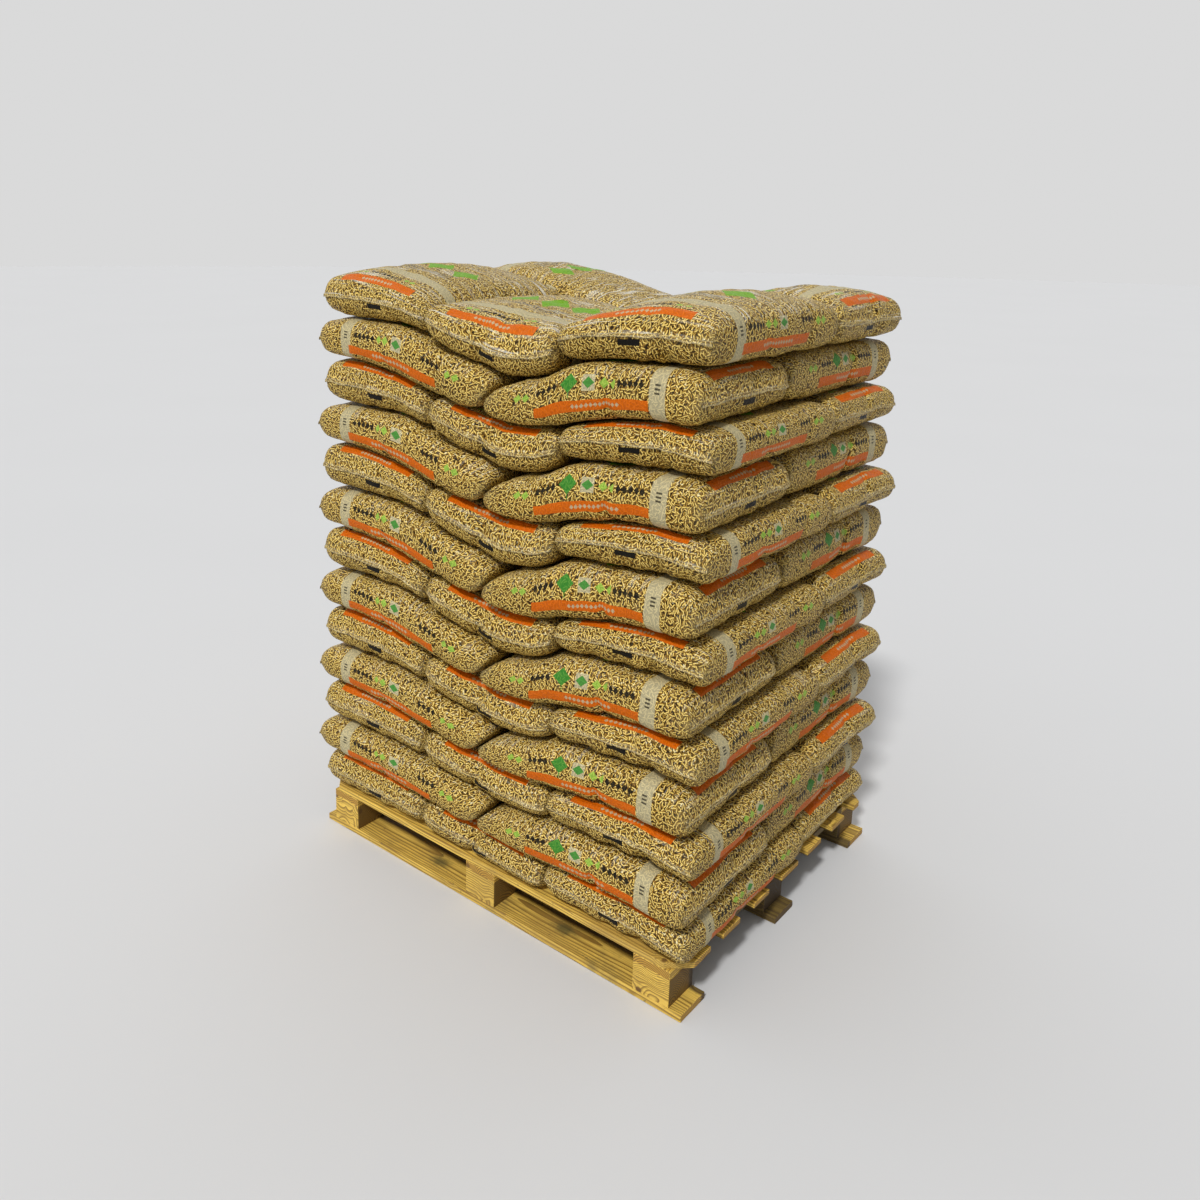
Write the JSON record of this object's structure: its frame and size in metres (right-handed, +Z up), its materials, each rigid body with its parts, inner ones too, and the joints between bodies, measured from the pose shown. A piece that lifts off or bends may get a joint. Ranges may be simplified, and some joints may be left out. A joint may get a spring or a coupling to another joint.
{
  "type": "pallet of sacks",
  "caption": "Clear-film sacks of wood pellets in crossed layers on a one-way wooden pallet with runners, blocks, transverse boards and deck boards.",
  "frame": {"origin": "on the floor under the middle of the pallet, in the underside of the middle runner", "axes": "+Z up, +X along the pallet's long side, the front long side faces -Y"},
  "size_m": [1.2336, 1.0339, 1.6197],
  "materials": {
    "pallet_wood": "rough sawn softwood",
    "sack": "clear glossy film over light brown wood pellets, with orange, green and cream print"
  },
  "bodies": {
    "root": {"runner_front": "pallet_wood", "runner_middle": "pallet_wood", "runner_back": "pallet_wood", "block_front_left": "pallet_wood", "block_front_middle": "pallet_wood", "block_front_right": "pallet_wood", "block_middle_left": "pallet_wood", "block_middle_middle": "pallet_wood", "block_middle_right": "pallet_wood", "block_back_left": "pallet_wood", "block_back_middle": "pallet_wood", "block_back_right": "pallet_wood", "transverse_left": "pallet_wood", "transverse_middle": "pallet_wood", "transverse_right": "pallet_wood", "deck_board_1": "pallet_wood", "deck_board_2": "pallet_wood", "deck_board_3": "pallet_wood", "deck_board_4": "pallet_wood", "deck_board_5": "pallet_wood", "deck_board_6": "pallet_wood", "deck_board_7": "pallet_wood", "sack_layer_01": "sack", "sack_layer_02": "sack", "sack_layer_03": "sack", "sack_layer_04": "sack", "sack_layer_05": "sack", "sack_layer_06": "sack", "sack_layer_07": "sack", "sack_layer_08": "sack", "sack_layer_09": "sack", "sack_layer_10": "sack", "sack_layer_11": "sack", "sack_layer_12": "sack", "sack_layer_13": "sack"}
  },
  "joints": []
}
